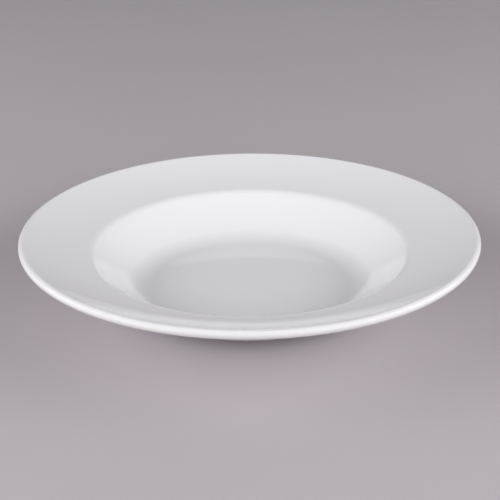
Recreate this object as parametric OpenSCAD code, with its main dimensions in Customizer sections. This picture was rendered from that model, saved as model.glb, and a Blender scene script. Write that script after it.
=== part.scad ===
// Rimmed soup plate: a fired body with a foot ring, and the glaze that covers all of it but the foot.
// The origin is on the plate's axis at table level, with +Z up.

/* [Plate] */
// Diameter over the glazed edge
plate_d = 230; // [210:1:260]
// Height from the table to the top of the glazed edge
plate_h = 35; // [31:0.5:45]

/* [Rim] */
// Width of the rim's body, from the edge in to the corner above the well
rim_w = 35.2; // [26:0.1:44]
// Slope at which the rim rises to the edge, in degrees
rim_slope = 15.5; // [6:0.5:18]
// How deep the rim's face is hollowed below a straight line from the well to the edge
rim_dip = 1.05; // [0.2:0.05:1.5]
// Thickness of the rim's body
rim_t = 3.8; // [3:0.1:5]
// Radius on the edge, where half the rim's thickness is fully round
edge_round = 1.9; // [0.8:0.1:2.5]
// Radius over the corner where the rim turns down into the well
verge_round = 7; // [4:0.5:10]
// Radius under that corner
verge_fillet = 3.2; // [1:0.1:6]

/* [Well] */
// How far the wall runs inwards as it falls from the rim to the floor
wall_run = 23; // [17:0.5:28]
// Thickness of the wall's body, square to its face
wall_t = 4.2; // [3.2:0.1:5.5]
// Radius between the wall and the floor
floor_fillet = 20; // [8:0.5:24]
// Radius under that corner
under_round = 19; // [8:0.5:24]
// Thickness of the body under the floor
base_t = 3.6; // [3:0.1:6]

/* [Foot] */
// How far the foot stands in from the corner under the wall
foot_inset = 8; // [5:0.5:12]
// Width of the foot ring where it leaves the base
foot_w = 5; // [4:0.1:8]
// Height of the foot ring
foot_h = 2.5; // [2:0.1:4]
// How far each side of the ring leans in towards the table
foot_draft = 0.4; // [0:0.1:0.8]
// Radius between the ring and the base
foot_fillet = 0.8; // [0.4:0.1:1.2]
// Radius beside the standing face
foot_round = 0.6; // [0.3:0.1:0.9]

/* [Glaze] */
// Thickness of the glaze
glaze_t = 0.3; // [0.2:0.05:0.5]
// Height of the bare band on the foot ring's sides
bare_h = 1; // [0.6:0.1:1.3]

/* [Hidden] */
// Segments in a full turn
$fn = 180;
// Greatest angle between the points of a rounded corner, in degrees
arc_step = 6;
// Greatest distance between those points
arc_chord = 4;
across = [1, 0];
upwards = [0, 1];

function unit(v) = v / norm(v);
function left_of(v) = [-v.y, v.x];

// Where the line through p along u meets the line through q along v
function crossing(p, u, q, v) = p + u * cross(q - p, v) / cross(u, v);

// Upper corners of the body's half section, as [radius, height]
body_r = plate_d / 2 - glaze_t;
edge_r = min(edge_round, rim_t / 2);
// The hollow rim leaves the well flatter and meets the edge steeper than a straight one, by this angle
rim_bend = atan(4 * rim_dip * cos(rim_slope) / rim_w);
edge_slope = rim_slope + rim_bend;
rim_end_z = plate_h - glaze_t - edge_r + edge_r * (tan(edge_slope) + 1 / cos(edge_slope));
rim_end = [body_r, rim_end_z];
verge = rim_end - rim_w * [1, tan(rim_slope)];
// The tangents at the hollow's ends meet at twice its depth
rim_mid = (verge + rim_end) / 2 - 2 * rim_dip * left_of(unit(rim_end - verge));
floor_centre = [0, foot_h + base_t];
floor_corner = floor_centre + across * (verge.x - wall_run);

// Lower corners, each where two undersides meet
inner_dir = unit(rim_mid - verge);
outer_dir = unit(rim_end - rim_mid);
wall_dir = unit(verge - floor_corner);
inner_under = rim_mid - rim_t * left_of(inner_dir);
outer_under = rim_mid - rim_t * left_of(outer_dir);
wall_under = verge - wall_t * left_of(wall_dir);
base_centre = [0, foot_h];
under_edge = crossing(outer_under, outer_dir, rim_end, upwards);
under_mid = crossing(inner_under, inner_dir, outer_under, outer_dir);
under_verge = crossing(inner_under, inner_dir, wall_under, wall_dir);
under_floor = crossing(wall_under, wall_dir, base_centre, across);

// Foot ring, whose sides are bare below the glaze
foot_out = under_floor - foot_inset * across;
foot_in = foot_out - foot_w * across;
stand_out = [foot_out.x - foot_draft, 0];
stand_in = [foot_in.x + foot_draft, 0];
bare_share = bare_h / foot_h;
bare_out = stand_out + bare_share * (foot_out - stand_out);
bare_in = stand_in + bare_share * (foot_in - stand_in);

// Radii, held to the walls that carry them
wall_angle = atan2(wall_dir.y, wall_dir.x);
foot_fillet_r = min(foot_fillet, foot_h - bare_h);
foot_round_r = min(foot_round, bare_h);
under_r = min(under_round, (foot_inset - foot_fillet_r) / tan(wall_angle / 2));

// Radii of the hollow, which fills the rim between its rounded ends
function reach(r, u, v) = r * tan(abs(bend(u, v)) / 2);
inner_run = norm(rim_mid - verge) - reach(verge_round, wall_dir, inner_dir);
outer_run = norm(rim_end - rim_mid) - reach(edge_r, outer_dir, -upwards);
hollow_r = min(inner_run, outer_run) / tan(rim_bend);
inner_under_run = norm(under_mid - under_verge) - reach(verge_fillet, wall_dir, inner_dir);
outer_under_run = norm(under_edge - under_mid) - reach(edge_r, outer_dir, upwards);
under_hollow_r = min(inner_under_run, outer_under_run) / tan(rim_bend);

// Stretches of the body's half section, as [corner, radius], with the outside on the left
face_path = [
    [floor_centre, 0],
    [floor_corner, floor_fillet],
    [verge, verge_round],
    [rim_mid, hollow_r],
    [rim_end, edge_r],
    [under_edge, edge_r],
    [under_mid, under_hollow_r],
    [under_verge, verge_fillet],
    [under_floor, under_r],
    [foot_out, foot_fillet_r],
    [bare_out, 0]
];
stand_path = [
    [stand_out, foot_round_r],
    [stand_in, foot_round_r]
];
base_path = [
    [bare_in, 0],
    [foot_in, foot_fillet_r],
    [base_centre, 0]
];

// Directions of the path into and out of its corner i
function dir_in(path, i) = unit(path[i][0] - path[i - 1][0]);
function dir_out(path, i) = unit(path[i + 1][0] - path[i][0]);
function bend(u, v) = atan2(cross(u, v), u * v);
function is_end(path, i) = i == 0 || i == len(path) - 1;
function turned(v, angle) = [v.x * cos(angle) - v.y * sin(angle), v.x * sin(angle) + v.y * cos(angle)];

// Points of the arc that rounds corner q, entered along u and left along v
function arc(q, r, u, v) =
    let (
        angle = bend(u, v),
        start = q - r * tan(abs(angle) / 2) * u,
        centre = start + sign(angle) * r * left_of(u),
        length = r * abs(angle) * PI / 180,
        steps = ceil(max(abs(angle) / arc_step, length / arc_chord))
    )
    [for (i = [0 : steps]) centre + turned(start - centre, angle * i / steps)];

// Outline of a path with its corners rounded
function rounded(path) = [
    for (i = [0 : len(path) - 1])
        each is_end(path, i) || path[i][1] == 0
            ? [path[i][0]]
            : arc(path[i][0], path[i][1], dir_in(path, i), dir_out(path, i))
];

// Path moved out by t, with every radius kept about its own centre
function end_normal(path, i) = left_of(i == 0 ? dir_out(path, i) : dir_in(path, i));
function corner_shift(u, v) = (left_of(u) + left_of(v)) / (1 + u * v);
function moved_corner(path, i, t) =
    let (u = dir_in(path, i), v = dir_out(path, i))
    [path[i][0] + t * corner_shift(u, v), path[i][1] - sign(bend(u, v)) * t];
function moved_out(path, t) = [
    for (i = [0 : len(path) - 1])
        is_end(path, i)
            ? [path[i][0] + t * end_normal(path, i), path[i][1]]
            : moved_corner(path, i, t)
];

function reversed(points) = [for (i = [len(points) - 1 : -1 : 0]) points[i]];

// Coat of even thickness on a path
module coat(path, t) {
    outside = rounded(moved_out(path, t));
    inside = reversed(rounded(path));
    rotate_extrude() polygon(concat(outside, inside));
}

// Fired body with its foot ring
module porcelain_body() {
    color([0.90, 0.88, 0.84])
        rotate_extrude() polygon(rounded(concat(face_path, stand_path, base_path)));
}

// Glaze on the face, over the edge and down to the foot's outer side
module face_glaze() {
    color([0.95, 0.95, 0.96]) coat(face_path, glaze_t);
}

// Glaze inside the foot ring
module base_glaze() {
    color([0.93, 0.94, 0.95]) coat(base_path, glaze_t);
}

porcelain_body();
face_glaze();
base_glaze();
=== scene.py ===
import math

import bmesh
import bpy
from mathutils import Matrix, Vector


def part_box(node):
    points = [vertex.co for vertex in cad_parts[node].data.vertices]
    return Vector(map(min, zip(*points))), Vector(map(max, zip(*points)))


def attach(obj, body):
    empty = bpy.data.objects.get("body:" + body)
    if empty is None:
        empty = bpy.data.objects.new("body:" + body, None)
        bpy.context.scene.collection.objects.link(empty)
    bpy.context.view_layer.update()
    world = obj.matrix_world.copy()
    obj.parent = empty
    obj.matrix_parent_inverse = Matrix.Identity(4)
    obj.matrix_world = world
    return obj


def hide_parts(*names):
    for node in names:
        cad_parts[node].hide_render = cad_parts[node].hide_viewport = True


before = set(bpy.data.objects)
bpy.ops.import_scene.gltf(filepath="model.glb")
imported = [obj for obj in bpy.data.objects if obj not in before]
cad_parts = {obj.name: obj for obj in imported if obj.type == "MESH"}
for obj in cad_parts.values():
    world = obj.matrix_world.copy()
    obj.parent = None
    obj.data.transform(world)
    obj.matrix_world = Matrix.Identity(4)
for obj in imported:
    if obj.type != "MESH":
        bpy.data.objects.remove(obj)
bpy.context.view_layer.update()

# Sizes of the plate, in metres: the outer ones and the foot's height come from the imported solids
PLATE_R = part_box("face_glaze")[1].x
PLATE_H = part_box("face_glaze")[1].z
FOOT_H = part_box("base_glaze")[1].z
GLAZE_T = 0.0003
RIM_W = 0.0352
RIM_SLOPE = math.radians(15.5)
RIM_DIP = 0.00105
RIM_T = 0.0038
EDGE_ROUND = 0.0019
VERGE_ROUND = 0.007
VERGE_FILLET = 0.0032
WALL_RUN = 0.023
WALL_T = 0.0042
FLOOR_FILLET = 0.02
UNDER_ROUND = 0.019
BASE_T = 0.0036
FOOT_INSET = 0.008
FOOT_W = 0.005
FOOT_DRAFT = 0.0004
FOOT_FILLET = 0.0008
FOOT_ROUND = 0.0006
BARE_H = 0.001
GLAZE_LIP_ROUND = 0.0002

# Fineness of the turned meshes
TURN_STEPS = 192
ARC_STEP = math.radians(3)
RING_GAP = 0.004
SHARP_ANGLE = math.radians(50)
ON_AXIS = 1e-7

# Camera
CAMERA_AIM = Vector((0.0002, 0.0, 0.0254))
CAMERA_DIST = 0.95
CAMERA_ELEVATION = math.radians(23.27)
CAMERA_ROLL = math.radians(-0.465)
CAMERA_LENS_MM = 136.5
SENSOR_MM = 36.0

# Glaze: colours, then noises, the spans over which they take effect, and reliefs as (depth, strength)
GLAZE_WHITE = (0.876, 0.869, 0.91, 1)
GLAZE_CLOUDY = (0.861, 0.858, 0.906, 1)
GLAZE_THIN = (0.885, 0.879, 0.896, 1)
# The next colour is painted shade laid over the rolled edge, not a glaze of its own
GLAZE_EDGE_SHADE = (0.70, 0.688, 0.70, 1)
GLAZE_PINHOLE = (0.7, 0.67, 0.65, 1)
GLAZE_IOR = 1.52
GLAZE_ROUGHNESS = (0.05, 0.09)
CLOUD_NOISE = {"Scale": 14.0}
CLOUD_SPAN = (0.35, 0.65)
CLOUD_SHARE = 0.35
GLOSS_NOISE = {"Scale": 60.0}
GLOSS_SPAN = (0.3, 0.7)
RIPPLE_NOISE = {"Scale": 45.0, "Detail": 1.0}
RIPPLE_RELIEF = (0.0002, 0.35)
PEEL_NOISE = {"Scale": 900.0, "Detail": 1.0}
PEEL_RELIEF = (0.000004, 0.3)
RING_WAVE = {"Scale": 80.0, "Distortion": 3.0, "Detail": 1.0, "Detail Scale": 0.3}
RING_RELIEF = (0.000008, 0.4)
PINHOLE_CELLS = {"Scale": 110.0}
PINHOLE_SPAN = (0.014, 0.022)
# How upright the glaze is where it starts to count as wall, and where it fully does; then where the
# painted shade on the edge starts and where it is full, growing as the edge turns down
WALL_SPAN = (0.92, 0.78)
EDGE_SHADE_SPAN = (0.95, -0.3)
# Distance from the axis where the edge's painted shade starts, and where it has its full share
EDGE_SHADE_BLEND_SHARE = 1.2
EDGE_SHADE_BAND = (PLATE_R - (1 + EDGE_SHADE_BLEND_SHARE) * EDGE_ROUND, PLATE_R - EDGE_ROUND)

# Bare porcelain
BARE_LIGHT = (0.74, 0.72, 0.67, 1)
BARE_DARK = (0.62, 0.59, 0.54, 1)
BARE_RUBBED = (0.5, 0.49, 0.47, 1)
BARE_ROUGHNESS = 0.75
GRAIN_NOISE = {"Scale": 2500.0, "Detail": 3.0, "Roughness": 0.6}
GRAIN_SPAN = (0.35, 0.7)
GRAIN_RELIEF = (0.00008, 0.6)
RUB_NOISE = {"Scale": 180.0, "Detail": 4.0}
RUB_SPAN = (0.5, 0.75)
RUB_SHARE = 0.5

# Table and backdrop
FLOOR_R = 4.0
FLOOR_STEPS = 64
FADE_BAND = (0.6, 1.1)
BACKDROP = (0.345, 0.317, 0.338, 1)
TABLE_DARK = (0.525, 0.484, 0.515, 1)
TABLE_LIGHT = (0.545, 0.504, 0.535, 1)
TABLE_ROUGHNESS = 0.8
TABLE_SPECULAR = 0.2
TABLE_NOISE = {"Scale": 3.0}
TABLE_SPAN = (0.3, 0.7)

# Lamps: places in degrees, sizes as (width, height) in metres
LAMP_DIST = 1.2
SIDE_AZIMUTH = 78
SIDE_ELEVATION = 22
SIDE_SIZE = (1.5, 0.7)
LEFT_WATTS = 11.3
RIGHT_WATTS = 11.8
FRONT_AZIMUTH = 0
FRONT_ELEVATION = 24
FRONT_SIZE = (2.0, 0.6)
FRONT_WATTS = 6.5
# Share of a panel's light that shows in the glaze, as through a polarising filter
MIRRORED_SHARE = 0.38
# The other lamp of a panel stands this far behind, because two in one place lose light
LAMP_GAP = 0.02

# Light from all round: the heights between which it fades, and its levels there
SKY_SPAN = (0.0, 0.8)
SKY_LEVELS = (0.46, 0.132)

ACROSS = Vector((1.0, 0.0))
UPWARDS = Vector((0.0, 1.0))


# Plane geometry of the half section

def left_of(v):
    """The direction v turned a quarter to the left."""
    return Vector((-v.y, v.x))


def cross(u, v):
    """Area spanned by u and v, positive where v lies to the left of u."""
    return u.x * v.y - u.y * v.x


def bend(u, v):
    """The angle from direction u round to direction v."""
    return math.atan2(cross(u, v), u.dot(v))


def crossing(p, u, q, v):
    """Where the line through p along u meets the line through q along v."""
    return p + u * (cross(q - p, v) / cross(u, v))


def reach(radius, u, v):
    """How much of each side a corner takes up when it is rounded to that radius."""
    return radius * math.tan(abs(bend(u, v)) / 2)


# Half section of the fired body, as (distance from the axis, height)

def upper_corners():
    """The floor's corner, the verge above the wall, the middle of the hollow rim and its end."""
    edge_slope = RIM_SLOPE + rim_bend()
    edge_lift = EDGE_ROUND * (math.tan(edge_slope) + 1 / math.cos(edge_slope) - 1)
    rim_end = Vector((PLATE_R - GLAZE_T, PLATE_H - GLAZE_T + edge_lift))
    verge = rim_end - RIM_W * Vector((1, math.tan(RIM_SLOPE)))
    rim_mid = verge.lerp(rim_end, 0.5) - 2 * RIM_DIP * left_of((rim_end - verge).normalized())
    floor_corner = Vector((verge.x - WALL_RUN, FOOT_H + BASE_T))
    return floor_corner, verge, rim_mid, rim_end


def rim_bend():
    """How much steeper the hollow rim is at its edge than on average."""
    return math.atan(4 * RIM_DIP * math.cos(RIM_SLOPE) / RIM_W)


def hollow_radius(start, middle, end, start_reach, end_reach):
    """Radius at the middle corner that fills what its neighbours leave of its two sides."""
    inner_run = (middle - start).length - start_reach
    outer_run = (end - middle).length - end_reach
    return min(inner_run, outer_run) / math.tan(rim_bend())


def under_corners(verge, rim_mid, rim_end, wall_dir, inner_dir, outer_dir):
    """Corners of the underside: at the edge, the middle of the hollow rim, the verge and the floor."""
    inner_under = rim_mid - RIM_T * left_of(inner_dir)
    outer_under = rim_mid - RIM_T * left_of(outer_dir)
    wall_under = verge - WALL_T * left_of(wall_dir)
    under_edge = crossing(outer_under, outer_dir, rim_end, UPWARDS)
    under_mid = crossing(inner_under, inner_dir, outer_under, outer_dir)
    under_verge = crossing(inner_under, inner_dir, wall_under, wall_dir)
    under_floor = crossing(wall_under, wall_dir, FOOT_H * UPWARDS, ACROSS)
    return under_edge, under_mid, under_verge, under_floor


def face_path():
    """From the floor's centre over the rim and down to the foot, as (corner, radius)."""
    floor_corner, verge, rim_mid, rim_end = upper_corners()
    wall_dir = (verge - floor_corner).normalized()
    inner_dir = (rim_mid - verge).normalized()
    outer_dir = (rim_end - rim_mid).normalized()
    under = under_corners(verge, rim_mid, rim_end, wall_dir, inner_dir, outer_dir)
    under_edge, under_mid, under_verge, under_floor = under
    foot_out = under_floor - FOOT_INSET * ACROSS
    bare_out = foot_out - FOOT_DRAFT * (1 - BARE_H / FOOT_H) * ACROSS - (FOOT_H - BARE_H) * UPWARDS

    verge_reach = reach(VERGE_ROUND, wall_dir, inner_dir)
    edge_reach = reach(EDGE_ROUND, outer_dir, -UPWARDS)
    under_verge_reach = reach(VERGE_FILLET, wall_dir, inner_dir)
    under_edge_reach = reach(EDGE_ROUND, outer_dir, UPWARDS)
    hollow = hollow_radius(verge, rim_mid, rim_end, verge_reach, edge_reach)
    under_hollow = hollow_radius(under_verge, under_mid, under_edge, under_verge_reach, under_edge_reach)
    return [
        (floor_corner.y * UPWARDS, 0),
        (floor_corner, FLOOR_FILLET),
        (verge, VERGE_ROUND),
        (rim_mid, hollow),
        (rim_end, EDGE_ROUND),
        (under_edge, EDGE_ROUND),
        (under_mid, under_hollow),
        (under_verge, VERGE_FILLET),
        (under_floor, UNDER_ROUND),
        (foot_out, FOOT_FILLET),
        (bare_out, 0),
    ]


def foot_paths(foot_out):
    """The bare standing face, and the base inside the foot ring, as (corner, radius)."""
    foot_in = foot_out - FOOT_W * ACROSS
    stand_out = Vector((foot_out.x - FOOT_DRAFT, 0))
    stand_in = Vector((foot_in.x + FOOT_DRAFT, 0))
    bare_in = stand_in.lerp(foot_in, BARE_H / FOOT_H)
    stand = [(stand_out, FOOT_ROUND), (stand_in, FOOT_ROUND)]
    base = [(bare_in, 0), (foot_in, FOOT_FILLET), (FOOT_H * UPWARDS, 0)]
    return stand, base


def directions(path, i):
    """Unit vectors into and out of corner i; an end has the same one twice."""
    before = path[i - 1][0] if i > 0 else None
    after = path[i + 1][0] if i + 1 < len(path) else None
    here = path[i][0]
    into = (here - before).normalized() if before is not None else None
    out = (after - here).normalized() if after is not None else None
    return into or out, out or into


def moved_out(path, distance):
    """The path moved out square to its sides, with every radius kept about its own centre."""
    moved = []
    for i, (corner, radius) in enumerate(path):
        u, v = directions(path, i)
        shift = (left_of(u) + left_of(v)) / (1 + u.dot(v))
        turn = math.copysign(1, cross(u, v)) if radius else 0
        moved.append((corner + distance * shift, radius - turn * distance))
    return moved


def arc(corner, radius, u, v):
    """Points of the arc that rounds a corner entered along u and left along v."""
    angle = bend(u, v)
    start = corner - reach(radius, u, v) * u
    centre = start + math.copysign(radius, angle) * left_of(u)
    steps = math.ceil(max(2, abs(angle) / ARC_STEP, abs(angle) * radius / RING_GAP))
    spoke = start - centre
    return [centre + Matrix.Rotation(angle * i / steps, 2) @ spoke for i in range(steps + 1)]


def rounded(path):
    """Points of the path with its corners rounded and its long straight stretches divided."""
    corners = []
    for i, (corner, radius) in enumerate(path):
        corners += arc(corner, radius, *directions(path, i)) if radius else [corner]
    points = [corners[0]]
    for target in corners[1:]:
        start = points[-1].copy()
        steps = max(1, round((target - start).length / RING_GAP))
        points += [start.lerp(target, k / steps) for k in range(1, steps + 1)]
    return points


def coat_path(path):
    """Closed section of a glaze coat on a path, with a softly rounded lip where the glaze stops."""
    outside = moved_out(path, GLAZE_T)
    lip = 0 if abs(path[0][0].x) > 0 else len(path) - 1
    outside[lip] = (outside[lip][0], GLAZE_LIP_ROUND)
    inside = list(reversed(path))
    return outside + inside if lip else inside + outside


# Meshes

def ring(bm, point):
    """Vertices round the Z axis at a point of the section, or a single one where it lies on the axis."""
    if point.x < ON_AXIS:
        return [bm.verts.new((0, 0, point.y))]
    angles = [math.tau * k / TURN_STEPS for k in range(TURN_STEPS)]
    return [bm.verts.new((point.x * math.cos(a), point.x * math.sin(a), point.y)) for a in angles]


def join_rings(bm, upper, lower):
    """Faces between two neighbouring rings: triangles where one is a single vertex, else quads."""
    for k in range(TURN_STEPS):
        quad = [upper[k % len(upper)], lower[k % len(lower)]]
        quad += [lower[(k + 1) % len(lower)], upper[(k + 1) % len(upper)]]
        bm.faces.new(list(dict.fromkeys(quad)))


def turned(name, points):
    """A solid turned about the Z axis from the points of its section."""
    mesh = bpy.data.meshes.new(name)
    bm = bmesh.new()
    rings = [ring(bm, p) for p in points]
    for upper, lower in zip(rings, rings[1:]):
        join_rings(bm, upper, lower)
    bmesh.ops.recalc_face_normals(bm, faces=bm.faces)
    for face in bm.faces:
        face.smooth = True
    bm.to_mesh(mesh)
    bm.free()
    mesh.set_sharp_from_angle(angle=SHARP_ANGLE)
    piece = bpy.data.objects.new(name, mesh)
    bpy.context.scene.collection.objects.link(piece)
    normals = piece.modifiers.new("even_normals", "WEIGHTED_NORMAL")
    normals.keep_sharp = True
    return piece


def dress(piece, node, material):
    """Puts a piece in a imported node's place, with its material."""
    piece.data.materials.append(material)
    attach(piece, "root")
    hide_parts(node)


# Materials

def put(tree, kind, inputs=None, **settings):
    """Adds a node. An input given as a socket is linked, and any other is set as its value."""
    made = tree.nodes.new(kind)
    for name, value in settings.items():
        setattr(made, name, value)
    for name, value in (inputs or {}).items():
        if isinstance(value, bpy.types.NodeSocket):
            tree.links.new(value, made.inputs[name])
        else:
            made.inputs[name].default_value = value
    return made


def new_material(name):
    """An empty material, its node tree and its object coordinates."""
    material = bpy.data.materials.new(name)
    material.use_nodes = True
    tree = material.node_tree
    tree.nodes.clear()
    place = put(tree, "ShaderNodeTexCoord").outputs["Object"]
    return material, tree, place


def shade(tree, inputs):
    """A principled surface joined to the material's output."""
    surface = put(tree, "ShaderNodeBsdfPrincipled", inputs)
    put(tree, "ShaderNodeOutputMaterial", {"Surface": surface.outputs["BSDF"]})


def noise(tree, place, settings):
    """Noise from about 0 to 1. What the settings leave out keeps the node's own value."""
    return put(tree, "ShaderNodeTexNoise", {"Vector": place, **settings}).outputs["Fac"]


def ranged(tree, value, span, target=(0.0, 1.0)):
    """Carries a value over from the span to the target, and holds it there beyond the span's ends."""
    inputs = {"Value": value, "From Min": span[0], "From Max": span[1]}
    inputs |= {"To Min": target[0], "To Max": target[1]}
    return put(tree, "ShaderNodeMapRange", inputs).outputs["Result"]


def mixed(tree, share, first, second):
    """Two colours mixed. A mix node's colour sockets come after those for numbers and vectors."""
    inputs = {0: share, 6: first, 7: second}
    return put(tree, "ShaderNodeMix", inputs, data_type="RGBA").outputs[2]


def bumped(tree, height, relief, below=None):
    """Normal of a relief, given as (depth, strength), on top of the normal below it."""
    depth, strength = relief
    inputs = {"Height": height, "Distance": depth, "Strength": strength}
    if below:
        inputs["Normal"] = below
    return put(tree, "ShaderNodeBump", inputs).outputs["Normal"]


def worked_out(tree, operation, *values):
    """Result of an operation on one or two numbers."""
    return put(tree, "ShaderNodeMath", dict(enumerate(values)), operation=operation).outputs["Value"]


def axis_distance(tree, place):
    """Distance of a place from the Z axis."""
    flat = put(tree, "ShaderNodeVectorMath", {0: place, 1: (1, 1, 0)}, operation="MULTIPLY")
    length = put(tree, "ShaderNodeVectorMath", {0: flat.outputs["Vector"]}, operation="LENGTH")
    return length.outputs["Value"]


def uprightness(tree):
    """1 where a surface faces up, 0 where it stands on end and -1 where it faces down."""
    facing_way = put(tree, "ShaderNodeTexCoord").outputs["Normal"]
    return put(tree, "ShaderNodeSeparateXYZ", {"Vector": facing_way}).outputs["Z"]


def wall_share(tree, upright):
    """0 on the flat floor and rim, 1 on the wall, inside and outside alike."""
    return ranged(tree, worked_out(tree, "ABSOLUTE", upright), WALL_SPAN)


def edge_shade_share(tree, place, upright):
    """Share of painted shade: 0 everywhere but on the edge, where it grows to 1 from the top round to
    the underside.
    """
    outermost = ranged(tree, axis_distance(tree, place), EDGE_SHADE_BAND)
    shade_downward = ranged(tree, upright, EDGE_SHADE_SPAN)
    return worked_out(tree, "MULTIPLY", outermost, shade_downward)


def turning_rings(tree, place):
    """Faint rings round the axis, left in the clay by the turning tool."""
    inputs = {"Vector": place, **RING_WAVE}
    return put(tree, "ShaderNodeTexWave", inputs, wave_type="RINGS", rings_direction="Z").outputs["Fac"]


def pinhole_share(tree, place):
    """1 inside a few tiny pinholes, 0 elsewhere."""
    cells = put(tree, "ShaderNodeTexVoronoi", {"Vector": place, **PINHOLE_CELLS})
    return ranged(tree, cells.outputs["Distance"], PINHOLE_SPAN, (1.0, 0.0))


def glaze_colour(tree, place, pooled, cloudy):
    """White, cloudy by a trace, whiter where it runs thin on the wall, with painted shade over the edge
    that deepens towards its underside.
    """
    cloud = ranged(tree, noise(tree, place, CLOUD_NOISE), CLOUD_SPAN, (0.0, CLOUD_SHARE))
    upright = uprightness(tree)
    colour = mixed(tree, cloud, pooled, cloudy)
    colour = mixed(tree, wall_share(tree, upright), colour, GLAZE_THIN)
    # Painted shade over the edge, darkest where it turns under
    colour = mixed(tree, edge_shade_share(tree, place, upright), colour, GLAZE_EDGE_SHADE)
    return mixed(tree, pinhole_share(tree, place), colour, GLAZE_PINHOLE)


def glaze_material(name, pooled, cloudy):
    """Glossy glaze, faintly wavy."""
    material, tree, place = new_material(name)
    colour = glaze_colour(tree, place, pooled, cloudy)
    ripple = bumped(tree, noise(tree, place, RIPPLE_NOISE), RIPPLE_RELIEF)
    ringed = bumped(tree, turning_rings(tree, place), RING_RELIEF, ripple)
    peel = bumped(tree, noise(tree, place, PEEL_NOISE), PEEL_RELIEF, ringed)
    gloss = ranged(tree, noise(tree, place, GLOSS_NOISE), GLOSS_SPAN, GLAZE_ROUGHNESS)
    shade(tree, {"Base Color": colour, "Roughness": gloss, "IOR": GLAZE_IOR, "Normal": peel})
    return material


def bare_material(name):
    """Fired porcelain without glaze: matt, grainy and a little rubbed."""
    material, tree, place = new_material(name)
    grain = noise(tree, place, GRAIN_NOISE)
    colour = mixed(tree, ranged(tree, grain, GRAIN_SPAN), BARE_LIGHT, BARE_DARK)
    rub = ranged(tree, noise(tree, place, RUB_NOISE), RUB_SPAN, (0.0, RUB_SHARE))
    colour = mixed(tree, rub, colour, BARE_RUBBED)
    normal = bumped(tree, grain, GRAIN_RELIEF)
    shade(tree, {"Base Color": colour, "Roughness": BARE_ROUGHNESS, "Normal": normal})
    return material


def seen_share(tree):
    """1 for a ray that shows the backdrop: straight from the camera, or off a glossy surface."""
    path = put(tree, "ShaderNodeLightPath").outputs
    return worked_out(tree, "MAXIMUM", path["Is Camera Ray"], path["Is Glossy Ray"])


def floor_material(name):
    """Plain pale table that fades into the backdrop far from the plate."""
    material, tree, place = new_material(name)
    tone = ranged(tree, noise(tree, place, TABLE_NOISE), TABLE_SPAN)
    colour = mixed(tree, tone, TABLE_DARK, TABLE_LIGHT)
    look = {"Base Color": colour, "Roughness": TABLE_ROUGHNESS, "Specular IOR Level": TABLE_SPECULAR}
    table = put(tree, "ShaderNodeBsdfPrincipled", look).outputs["BSDF"]
    far = put(tree, "ShaderNodeEmission", {"Color": BACKDROP, "Strength": 1.0}).outputs["Emission"]
    fade = ranged(tree, axis_distance(tree, place), FADE_BAND)
    share = worked_out(tree, "MULTIPLY", fade, seen_share(tree))
    surface = put(tree, "ShaderNodeMixShader", {0: share, 1: table, 2: far})
    put(tree, "ShaderNodeOutputMaterial", {"Surface": surface.outputs["Shader"]})
    return material


# Pieces

def make_plate():
    """The two glaze coats and, as the same section without them, the body."""
    face = face_path()
    foot_out = face[-2][0]
    stand, base = foot_paths(foot_out)
    face_glaze = turned("glazed_face", rounded(coat_path(face)))
    face_white = glaze_material("face_glaze_white", GLAZE_WHITE, GLAZE_CLOUDY)
    dress(face_glaze, "face_glaze", face_white)
    base_glaze = turned("glazed_base", rounded(coat_path(base)))
    base_white = glaze_material("base_glaze_white", GLAZE_CLOUDY, GLAZE_WHITE)
    dress(base_glaze, "base_glaze", base_white)
    body = turned("fired_body", rounded(face + stand + base))
    dress(body, "porcelain_body", bare_material("bare_porcelain"))


# Stage

def make_floor():
    """A round table top under the plate, which counts as stage and not as part."""
    mesh = bpy.data.meshes.new("floor")
    bm = bmesh.new()
    bmesh.ops.create_circle(bm, cap_ends=True, radius=FLOOR_R, segments=FLOOR_STEPS)
    bm.to_mesh(mesh)
    bm.free()
    floor = bpy.data.objects.new("floor", mesh)
    floor.data.materials.append(floor_material("floor"))
    bpy.context.scene.collection.objects.link(floor)


def facing(azimuth, elevation):
    """Unit vector from the plate towards a lamp; azimuth 0 is the camera's side, 90 the right."""
    a = math.radians(azimuth)
    e = math.radians(elevation)
    return Vector((math.sin(a) * math.cos(e), -math.cos(a) * math.cos(e), math.sin(e)))


def lamp(name, away, distance, size, watts):
    """A rectangular lamp at a distance along a direction, turned to the plate's centre."""
    data = bpy.data.lights.new(name, "AREA")
    data.shape = "RECTANGLE"
    data.size, data.size_y = size
    data.energy = watts
    made = bpy.data.objects.new(name, data)
    made.location = away * distance
    made.rotation_mode = "QUATERNION"
    made.rotation_quaternion = away.to_track_quat("Z", "Y")
    bpy.context.scene.collection.objects.link(made)
    return made


def softbox(name, azimuth, elevation, size, watts):
    """A soft panel: one lamp that the glaze mirrors and, behind it, one that it doesn't."""
    away = facing(azimuth, elevation)
    lamp(name + "_mirrored", away, LAMP_DIST, size, MIRRORED_SHARE * watts)
    plain = lamp(name + "_plain", away, LAMP_DIST + LAMP_GAP, size, (1 - MIRRORED_SHARE) * watts)
    plain.visible_glossy = False


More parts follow.
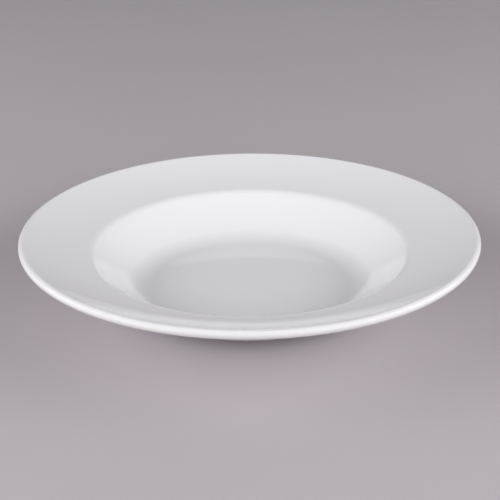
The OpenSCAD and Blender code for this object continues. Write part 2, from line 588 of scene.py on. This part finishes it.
def make_lights():
    """A panel on each side and a low, wide one behind the camera."""
    softbox("left_panel", -SIDE_AZIMUTH, SIDE_ELEVATION, SIDE_SIZE, LEFT_WATTS)
    softbox("right_panel", SIDE_AZIMUTH, SIDE_ELEVATION, SIDE_SIZE, RIGHT_WATTS)
    softbox("front_fill", FRONT_AZIMUTH, FRONT_ELEVATION, FRONT_SIZE, FRONT_WATTS)


def background(tree, colour, strength):
    """Even light of one colour for the world."""
    inputs = {"Color": colour, "Strength": strength}
    return put(tree, "ShaderNodeBackground", inputs).outputs["Background"]


def make_world():
    """Soft light that fades from the horizon to the zenith, in front of a plain backdrop."""
    world = bpy.data.worlds.new("studio")
    world.use_nodes = True
    tree = world.node_tree
    tree.nodes.clear()
    direction = put(tree, "ShaderNodeTexCoord").outputs["Generated"]
    height = put(tree, "ShaderNodeSeparateXYZ", {"Vector": direction}).outputs["Z"]
    level = ranged(tree, height, SKY_SPAN, SKY_LEVELS)
    light = background(tree, (1, 1, 1, 1), level)
    backdrop = background(tree, BACKDROP, 1.0)
    surround = put(tree, "ShaderNodeMixShader", {0: seen_share(tree), 1: light, 2: backdrop})
    put(tree, "ShaderNodeOutputWorld", {"Surface": surround.outputs["Shader"]})
    bpy.context.scene.world = world


def make_camera():
    """The photo's view: a long lens, a little above the table and rolled by a trace."""
    data = bpy.data.cameras.new("camera")
    data.sensor_width = SENSOR_MM
    data.lens = CAMERA_LENS_MM
    data.dof.use_dof = False
    camera = bpy.data.objects.new("camera", data)
    away = Vector((0, -math.cos(CAMERA_ELEVATION), math.sin(CAMERA_ELEVATION)))
    camera.rotation_mode = "QUATERNION"
    level = away.to_track_quat("Z", "Y").to_matrix()
    camera.rotation_quaternion = (level @ Matrix.Rotation(CAMERA_ROLL, 3, "Z")).to_quaternion()
    camera.location = CAMERA_AIM + away * CAMERA_DIST
    bpy.context.scene.collection.objects.link(camera)
    bpy.context.scene.camera = camera


make_plate()
make_floor()
make_lights()
make_world()
make_camera()
bpy.context.scene.view_settings.view_transform = "Standard"
